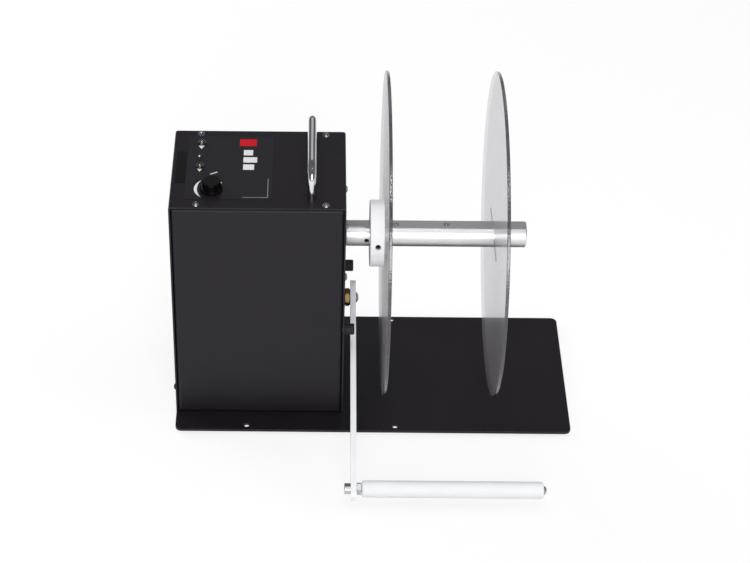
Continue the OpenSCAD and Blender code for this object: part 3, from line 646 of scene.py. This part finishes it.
class Dresser:
    """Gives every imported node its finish.

    Attributes:
        RIM_FROM: Share of a disc's radius at which its rim begins.
        SLIT_FROM: Share of a disc's radius at which its slits begin, outside the bore.
        FACE_COSINE: Part of a normal along X from which a face belongs to the disc's flat sides.
    """

    RIM_FROM: ClassVar[float] = 0.9
    SLIT_FROM: ClassVar[float] = 0.1
    FACE_COSINE: ClassVar[float] = 0.9

    def __init__(self, finishes: Finishes) -> None:
        """Sorts the nodes by finish.

        Args:
            finishes: The materials to give out.
        """
        self.finishes = finishes
        self.nodes: dict[str, bpy.types.Object] = frame["nodes"]
        f = finishes
        self.by_slot = {
            "black_steel": f.powder, "panel_film": f.film, "zinc_steel": f.zinc, "chrome": f.chrome,
            "turned_aluminium": f.spindle, "white_plastic": f.hub, "clear_acrylic": f.disc,
            "black_plastic": f.plastic, "black_oxide": f.oxide, "black_rubber": f.rubber,
            "bush_brass": f.brass, "board_green": f.board,
        }
        self.special = {
            "tension_arm": f.arm, "blank_label": f.plastic, "gearbox": f.cast, "roller": f.roller,
            "side_screws": f.oxide, "toggle_nuts": f.nickel, "back_toggle": f.nickel,
            "front_toggle": f.nickel,
        }

    def dress(self) -> None:
        """Gives each node one material, and the clear discs others on their rim and slits."""
        slots = {part["node"]: part["material_slot"] for part in frame["record"]["subparts"]}
        for name, piece in self.nodes.items():
            material = self.special.get(name, self.by_slot[slots[name]])
            piece.data.materials.clear()
            piece.data.materials.append(material)
            if slots[name] == "clear_acrylic":
                self.edge(piece)
            LOG.info("dressed %s in %s", name, material.name)

    def edge(self, piece: bpy.types.Object) -> None:
        """Gives the faces of a disc's rim and of the outer disc's slits their own finishes.

        Args:
            piece: The disc.
        """
        mesh = piece.data
        mesh.materials.append(self.finishes.rim)
        normals = np.empty(len(mesh.polygons) * 3)
        centres = np.empty(len(mesh.polygons) * 3)
        mesh.polygons.foreach_get("normal", normals)
        mesh.polygons.foreach_get("center", centres)
        spots = centres.reshape(-1, 3)[:, 1:]
        away = np.linalg.norm(spots - (spots.min(axis=0) + spots.max(axis=0)) / 2, axis=1)
        reach = away.max()
        side = np.abs(normals.reshape(-1, 3)[:, 0]) < self.FACE_COSINE
        rim = side & (away > self.RIM_FROM * reach)
        index = rim.astype(np.int32)
        if piece.name == "outer_disc":
            mesh.materials.append(self.finishes.slit)
            index[side & (away > self.SLIT_FROM * reach) & ~rim] = 2
        mesh.polygons.foreach_set("material_index", index)
        mesh.update()


class Solid:
    """Turns arrays of points into closed mesh pieces."""

    @staticmethod
    def tube(name: str, rings: np.ndarray, material: bpy.types.Material, closed: bool) -> bpy.types.Object:
        """Makes a closed surface from a stack of closed rings.

        Args:
            name: Name of the piece.
            rings: Points, shaped stations by points in a ring by 3.
            material: Finish of the piece.
            closed: True joins the last ring to the first; False caps both ends.

        Returns:
            The new object, linked to the scene.
        """
        count, around = rings.shape[:2]
        station = np.arange(count if closed else count - 1)[:, None]
        index = np.arange(around)[None, :]
        after, beside = (station + 1) % count, (index + 1) % around
        quads = np.stack([station * around + index, station * around + beside,
                          after * around + beside, after * around + index], axis=-1).reshape(-1, 4)
        faces = quads.tolist()
        if not closed:
            faces.append(list(range(around))[::-1])
            faces.append([(count - 1) * around + i for i in range(around)])
        mesh = bpy.data.meshes.new(name)
        mesh.from_pydata(rings.reshape(-1, 3).tolist(), [], faces)
        mesh.materials.append(material)
        mesh.validate()
        mesh.update()
        piece = bpy.data.objects.new(name, mesh)
        bpy.context.scene.collection.objects.link(piece)
        return piece


@dataclass
class PrintedMarks:
    """Plain marks printed on the control film: the knob's scale, two arrows, a border and four bars.

    Each mark is a flat ribbon between two edges, with the thickness of ink, so that it is a closed solid.
    Sizes of the marks are in millimetres, and places are measured from the film's left front corner.

    Attributes:
        finishes: The inks.
        corner: Left front corner of the film, in metres.
        top: Height of the film's upper face, in metres.
        thick: Thickness of the ink, in metres.
        scale_centre: Centre of the knob's scale.
        scale_sweep: First and last angle of the scale in degrees.
        scale_radii: Radius of the scale's inner and outer edge at its ends.
        scale_swell: How much further out the two edges lie in the middle.
        scale_points: Points along the scale.
        dot_centre: Centre of the dot that marks the end of the knob's travel.
        dot_radius: Radius of the dot.
        dot_points: Points along the dot.
        dot_blunt: Least half width of the dot, as a share of its radius, so that no face closes to a line.
        tick_ends: Ends of the left edge of the scale's tick.
        tick_width: From the tick's left to its right edge.
        back_tip: Tip of the back switch's arrow.
        front_tip: Tip of the front switch's arrow.
        arrow_half: Half the width of an arrow.
        arrow_length: Length of an arrow.
        arrow_points: Points along an arrow.
        arrow_blunt: Share of an arrow's length that its blunt tip leaves out.
        border_corner: Outer corner of the border line.
        border_reach: Length of the border line to the left and to the back.
        border_line: Width of the border line.
        red_corner: Left front corner of the red bar.
        red_size: Width and depth of the red bar.
        bars_corner: Left front corner of the white bars.
        bar_widths: Widths of the white bars, from the front.
        bar_depth: Depth of a white bar.
        bar_pitch: Distance from one white bar to the next.
    """

    finishes: Finishes
    corner: Vector
    top: float
    thick: float = 0.03 * MM
    scale_centre: Spot = (24.9, 16.2)
    scale_sweep: Spot = (131.0, 230.0)
    scale_radii: Spot = (16.3, 16.5)
    scale_swell: Spot = (-2.2, 0.4)
    scale_points: int = 41
    dot_centre: Spot = (31.9, 25.4)
    dot_radius: float = 0.8
    dot_points: int = 15
    dot_blunt: float = 0.01
    tick_ends: tuple[Spot, Spot] = ((21.4, 39.2), (27.8, 42.7))
    tick_width: Spot = (0.6, -1.2)
    back_tip: Spot = (12.0, 78.7)
    front_tip: Spot = (11.8, 42.4)
    arrow_half: float = 2.8
    arrow_length: float = 5.4
    arrow_points: int = 5
    arrow_blunt: float = 0.02
    border_corner: Spot = (74.5, 2.9)
    border_reach: Spot = (22.7, 29.1)
    border_line: float = 0.6
    red_corner: Spot = (47.0, 84.0)
    red_size: Spot = (15.5, 11.0)
    bars_corner: Spot = (51.0, 46.0)
    bar_widths: tuple[float, ...] = (10.0, 12.5, 8.5)
    bar_depth: float = 8.5
    bar_pitch: float = 11.5

    def ribbon(self, name: str, left: np.ndarray, right: np.ndarray, ink: bpy.types.Material) -> None:
        """Prints one ribbon.

        Args:
            name: Name of the piece.
            left: One edge, shaped points by 2.
            right: The other edge.
            ink: Finish of the mark.
        """
        origin = np.array([self.corner.x, self.corner.y])
        a, b = left * MM + origin, right * MM + origin
        low = np.full((len(a), 1), self.top)
        high = low + self.thick
        lines = [np.hstack([a, low]), np.hstack([b, low]), np.hstack([b, high]), np.hstack([a, high])]
        piece = Solid.tube(name, np.stack(lines, axis=1), ink, closed=False)
        self.outward(piece)
        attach(piece, Body.HOUSING.value)
        LOG.info("printed %s", name)

    @staticmethod
    def outward(piece: bpy.types.Object) -> None:
        """Turns the faces outward when the ribbon's edges were given the other way round.

        Args:
            piece: The ribbon.
        """
        mesh = piece.data
        top = max(mesh.polygons, key=lambda face: face.center.z)
        if top.normal.z < 0.0:
            mesh.flip_normals()

    def crescent(self) -> None:
        """Prints the tapered scale round the knob: two arcs whose radii swell by a half sine wave."""
        turn = np.radians(np.linspace(*self.scale_sweep, self.scale_points))
        swell = np.sin(np.linspace(0.0, math.pi, self.scale_points))
        way = np.stack([np.cos(turn), np.sin(turn)], axis=1)
        inner, outer = (np.array(self.scale_centre) + way * (radius + grow * swell)[:, None]
                        for radius, grow in zip(self.scale_radii, self.scale_swell))
        self.ribbon("knob_scale", inner, outer, self.finishes.white_ink)

    def dot(self) -> None:
        """Prints the dot as a circle.

        At each rise from -1 to 1 its half width is the root of 1 less the rise squared.
        """
        rise = np.linspace(-1.0, 1.0, self.dot_points)
        half = np.maximum(np.sqrt(np.maximum(1.0 - rise**2, 0.0)), self.dot_blunt)
        centre = np.array(self.dot_centre)
        left = centre + np.stack([-half, rise], axis=1) * self.dot_radius
        right = centre + np.stack([half, rise], axis=1) * self.dot_radius
        self.ribbon("scale_dot", left, right, self.finishes.white_ink)

    def tick(self) -> None:
        """Prints the slanted tick beside the knob's scale."""
        left = np.array(self.tick_ends)
        self.ribbon("scale_tick", left, left + np.array(self.tick_width), self.finishes.white_ink)

    def arrow(self, name: str, tip: Spot) -> None:
        """Prints a small triangle that points to the user and widens evenly from its tip.

        Args:
            name: Name of the piece.
            tip: Place of its tip.
        """
        grow = np.linspace(self.arrow_blunt, 1.0, self.arrow_points)
        left = np.array(tip) + np.stack([-self.arrow_half * grow, self.arrow_length * grow], axis=1)
        right = np.array(tip) + np.stack([self.arrow_half * grow, self.arrow_length * grow], axis=1)
        self.ribbon(name, left, right, self.finishes.white_ink)

    def bar(self, name: str, lo: Spot, hi: Spot, ink: bpy.types.Material) -> None:
        """Prints a plain bar.

        Args:
            name: Name of the piece.
            lo: Left front corner.
            hi: Right back corner.
            ink: Finish of the bar.
        """
        left = np.array([[lo[0], lo[1]], [lo[0], hi[1]]])
        right = np.array([[hi[0], lo[1]], [hi[0], hi[1]]])
        self.ribbon(name, left, right, ink)

    def border(self) -> None:
        """Prints the corner of a border line, as one bar along the front and one along the right."""
        x, y = self.border_corner
        front_hi = (x, y + self.border_line)
        self.bar("border_front", (x - self.border_reach[0], y), front_hi, self.finishes.grey_ink)
        right_lo = (x - self.border_line, y + self.border_line)
        self.bar("border_right", right_lo, (x, y + self.border_reach[1]), self.finishes.grey_ink)

    def bars(self) -> None:
        """Prints the red bar and the row of white bars in front of it."""
        red_hi = (self.red_corner[0] + self.red_size[0], self.red_corner[1] + self.red_size[1])
        self.bar("panel_bar_red", self.red_corner, red_hi, self.finishes.red_ink)
        x, y = self.bars_corner
        for i, width in enumerate(self.bar_widths):
            start = y + i * self.bar_pitch
            hi = (x + width, start + self.bar_depth)
            self.bar(f"panel_bar_{i + 1}", (x, start), hi, self.finishes.white_ink)

    def build(self) -> None:
        """Prints every mark."""
        self.crescent()
        self.dot()
        self.arrow("back_arrow", self.back_tip)
        self.arrow("front_arrow", self.front_tip)
        self.tick()
        self.border()
        self.bars()


@dataclass
class ThreadedBush:
    """Screw thread on a toggle's bush above its nut.

    The radius is r = root + depth * tri(z / pitch - turn), with tri a triangle wave, so the ridge climbs
    one pitch in each turn.

    Attributes:
        name: Name of the piece.
        node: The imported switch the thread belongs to.
        nut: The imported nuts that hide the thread's foot.
        material: Finish of the thread.
        root: Root radius of the thread.
        depth: Depth of the thread.
        pitch: Climb of the thread in one turn.
        wall: Thickness of the threaded sleeve under the root.
        foot_gap: Gap between the nut and the thread's foot.
        head_gap: Distance from the thread's head to the switch's upper end.
        around: Points in one turn.
        stations: Points along the thread.
    """

    name: str
    node: str
    nut: str
    material: bpy.types.Material
    root: float = 2.98 * MM
    depth: float = 0.2 * MM
    pitch: float = 0.6 * MM
    wall: float = 0.2 * MM
    foot_gap: float = 0.02 * MM
    head_gap: float = 0.15 * MM
    around: int = 48
    stations: int = 60

    def build(self) -> None:
        """Builds the thread round the bush."""
        lo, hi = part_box(self.node)
        centre = (Vector(lo) + Vector(hi)) / 2
        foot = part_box(self.nut)[1][2] + self.foot_gap
        turn = np.linspace(0.0, 2 * math.pi, self.around, endpoint=False)[:, None]
        rise = np.linspace(foot, hi[2] - self.head_gap, self.stations)[None, :]
        phase = (rise / self.pitch - turn / (2 * math.pi)) % 1.0
        ridge = self.root + self.depth * (1.0 - np.abs(2.0 * phase - 1.0))
        bore = np.full_like(ridge, self.root - self.wall)
        height = np.broadcast_to(rise, ridge.shape)
        outer, inner = (
            np.stack([centre.x + radius * np.cos(turn), centre.y + radius * np.sin(turn), height], axis=-1)
            for radius in (ridge, bore))
        rings = np.concatenate([outer, inner[:, ::-1]], axis=1)
        piece = Solid.tube(self.name, rings, self.material, closed=True)
        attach(piece, Body.HOUSING.value)
        LOG.info("cut thread %s", self.name)


@dataclass(frozen=True)
class Lamp:
    """A square soft box that looks at the object.

    Attributes:
        name: Name of the light.
        place: Position in the stored frame.
        size: Side of the soft box.
        power: Power in watts.
        mirrored: False keeps the lamp out of reflections, as a wide bounced light is.
        TARGET: The point that every lamp looks at.
    """

    name: str
    place: Place
    size: float
    power: float
    mirrored: bool = True
    TARGET: ClassVar[Place] = (0.0, 0.0, 0.15)

    def hang(self) -> None:
        """Adds the lamp to the scene."""
        data = bpy.data.lights.new(self.name, "AREA")
        data.shape = "SQUARE"
        data.size = self.size
        data.energy = self.power
        light = bpy.data.objects.new(self.name, data)
        light.visible_glossy = self.mirrored
        light.location = self.place
        view = Vector(self.TARGET) - Vector(self.place)
        light.rotation_euler = view.to_track_quat("-Z", "Y").to_euler()
        bpy.context.scene.collection.objects.link(light)


@dataclass
class Studio:
    """Plain white studio: floor, soft lights and the photo's camera.

    Attributes:
        origin: Spindle frame's origin: the box's right side on the spindle axis.
        lens_px: Focal length in pixels of the photo.
        picture: Width and height of the photo in pixels.
        centre_px: Principal point in the photo.
        sensor: Width of the camera's sensor in millimetres.
        clip: Nearest and farthest distance that the camera sees.
        eye: Camera position in the spindle frame.
        tilt: Angle of the view below the horizon in degrees.
        roll: Turn of the camera about its view in degrees.
        floor_half: Half the side of the floor.
        floor_lit: Colour with which the floor throws light back at the object.
        floor_seen: Colour of the floor where it is seen.
        glow: Share of the seen floor that is plain white; the rest shows the object's shadow.
        sky_light: Colour of the world as a light.
        sky_strength: Strength of the world as a light.
        sky_mirror: Colour of the world in reflections.
        mirror_strength: Strength of the world in reflections.
        lamps: The soft boxes.
    """

    origin: Vector
    lens_px: float = 2163.63
    picture: tuple[int, int] = (750, 563)
    centre_px: Spot = (314.48, 281.22)
    sensor: float = 36.0
    clip: Spot = (0.05, 50.0)
    eye: Place = (-27.859 * MM, -1609.233 * MM, 1193.622 * MM)
    tilt: float = 37.854
    roll: float = 0.500
    floor_half: float = 6.0
    floor_lit: Rgb = (0.72, 0.72, 0.73)
    floor_seen: Rgb = (0.95, 0.95, 0.955)
    glow: float = 0.8
    sky_light: Rgb = (0.9, 0.92, 1.0)
    sky_strength: float = 0.24
    sky_mirror: Rgb = (0.95, 0.95, 1.0)
    mirror_strength: float = 0.13
    lamps: tuple[Lamp, ...] = (
        Lamp("top_soft_box", (0.1, 0.2, 2.2), size=2.2, power=18.0, mirrored=False),
        Lamp("front_soft_box", (0.05, -2.4, 1.1), size=1.3, power=36.0),
        Lamp("over_camera_box", (0.0, -0.9, 2.4), size=0.4, power=8.0),
        Lamp("back_card", (0.0, 2.0, 1.75), size=1.3, power=2.3),
        Lamp("left_soft_box", (-1.6, 1.1, 0.9), size=0.9, power=20.0, mirrored=False),
        Lamp("right_soft_box", (2.3, -0.6, 1.2), size=1.4, power=16.0, mirrored=False),
    )

    def floor_finish(self) -> bpy.types.Material:
        """Builds the floor's material: white with a faint shadow where it is seen or mirrored.

        Returns:
            The finished material.
        """
        graph = Graph(bpy.data.materials.new("white_floor"))
        lit = graph.add("BsdfDiffuse", Color=(*self.floor_lit, 1.0)).outputs["BSDF"]
        pale = graph.add("BsdfDiffuse", Color=(*self.floor_seen, 1.0)).outputs["BSDF"]
        white = graph.add("Emission", Color=(1.0, 1.0, 1.0, 1.0), Strength=1.0).outputs["Emission"]
        seen = graph.ray(Ray.CAMERA, Ray.GLOSSY, Ray.TRANSMISSION)
        graph.surface(graph.blend(seen, lit, graph.blend(self.glow, pale, white)))
        return graph.owner

    def floor(self) -> None:
        """Lays the white floor that the camera sees as the ground of the photo."""
        half = self.floor_half
        corners = [(-half, -half, 0), (half, -half, 0), (half, half, 0), (-half, half, 0)]
        mesh = bpy.data.meshes.new("floor")
        mesh.from_pydata(corners, [], [(0, 1, 2, 3)])
        mesh.materials.append(self.floor_finish())
        floor = bpy.data.objects.new("floor", mesh)
        bpy.context.scene.collection.objects.link(floor)

    def sky(self) -> None:
        """Sets a world that is white for the camera, a soft grey light, and dim in reflections."""
        world = bpy.data.worlds.new("studio")
        bpy.context.scene.world = world
        graph = Graph(world, "OutputWorld")
        soft, dim, white = (
            graph.add("Background", Color=(*colour, 1.0), Strength=strength).outputs["Background"]
            for colour, strength in ((self.sky_light, self.sky_strength),
                                     (self.sky_mirror, self.mirror_strength), ((1.0, 1.0, 1.0), 1.0)))
        unseen = graph.blend(graph.ray(Ray.GLOSSY), soft, dim)
        graph.surface(graph.blend(graph.ray(Ray.CAMERA, Ray.TRANSMISSION), unseen, white))

    def camera(self) -> None:
        """Sets the camera solved from the photo."""
        data = bpy.data.cameras.new("photo_camera")
        width, height = self.picture
        data.sensor_fit = "HORIZONTAL"
        data.sensor_width = self.sensor
        data.lens = self.lens_px / width * self.sensor
        data.shift_x = (width / 2 - self.centre_px[0]) / width
        data.shift_y = (self.centre_px[1] - height / 2) / width
        data.clip_start, data.clip_end = self.clip
        tilt, roll = math.radians(self.tilt), math.radians(self.roll)
        ahead = Vector((0.0, math.cos(tilt), -math.sin(tilt)))
        right = Vector((1.0, 0.0, 0.0))
        up = right.cross(ahead)
        turned_right = right * math.cos(roll) + up * math.sin(roll)
        turned_up = up * math.cos(roll) - right * math.sin(roll)
        camera = bpy.data.objects.new("photo_camera", data)
        bpy.context.scene.collection.objects.link(camera)
        axes = Matrix((turned_right, turned_up, -ahead)).transposed().to_4x4()
        camera.matrix_world = Matrix.Translation(self.origin + Vector(self.eye)) @ axes
        bpy.context.scene.camera = camera

    def build(self) -> None:
        """Sets up floor, world, lights, camera and picture."""
        self.floor()
        self.sky()
        for lamp in self.lamps:
            lamp.hang()
            LOG.info("hung %s", lamp.name)
        self.camera()
        bpy.context.scene.view_settings.view_transform = "Standard"


def spindle_origin() -> Vector:
    """Finds the spindle frame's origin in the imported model.

    Returns:
        The point on the spindle axis at the box's right side.
    """
    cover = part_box("cover")
    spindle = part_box("spindle")
    radius = (spindle[1][1] - spindle[0][1]) / 2
    return Vector((cover[1][0], spindle[0][1] + radius, spindle[0][2] + radius))


def main() -> None:
    """Dresses the model, adds the fine pieces and builds the studio."""
    logging.basicConfig(level=logging.INFO, format="%(name)s: %(message)s")
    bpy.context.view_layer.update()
    finishes = Finishes()
    Dresser(finishes).dress()
    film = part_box("control_overlay")
    PrintedMarks(finishes, Vector(film[0]), film[1][2]).build()
    for side in ("back", "front"):
        ThreadedBush(f"{side}_toggle_thread", f"{side}_toggle", "toggle_nuts", finishes.nickel).build()
    Studio(spindle_origin()).build()


if __name__ == "__main__":
    main()
